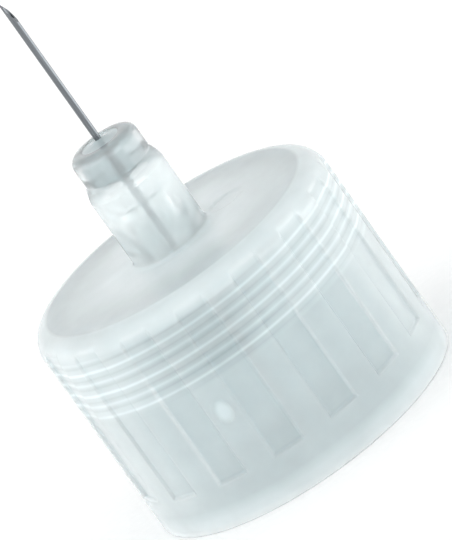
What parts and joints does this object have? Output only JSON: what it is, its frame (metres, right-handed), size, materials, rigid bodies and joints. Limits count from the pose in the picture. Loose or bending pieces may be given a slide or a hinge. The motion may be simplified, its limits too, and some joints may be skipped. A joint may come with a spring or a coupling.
{
  "type": "insulin pen needle",
  "caption": "Single-use pen needle: clear moulded hub with internal pen thread, fluted skirt and stepped tower, holding a fine double-ended steel cannula.",
  "frame": {"origin": "centre of the skirt's rim, on the plane that the hub stands on", "axes": "+Z along the cannula towards its patient end, -Y towards the front of the pictured view, +X to the right"},
  "size_m": [0.0119, 0.0118, 0.0187],
  "materials": {
    "hub_plastic": "natural milky clear moulded polypropylene",
    "cannula_steel": "drawn and ground stainless steel",
    "cured_adhesive": "clear cured resin"
  },
  "bodies": {
    "root": {"hub": "hub_plastic", "cannula": "cannula_steel", "adhesive": "cured_adhesive"}
  },
  "joints": []
}
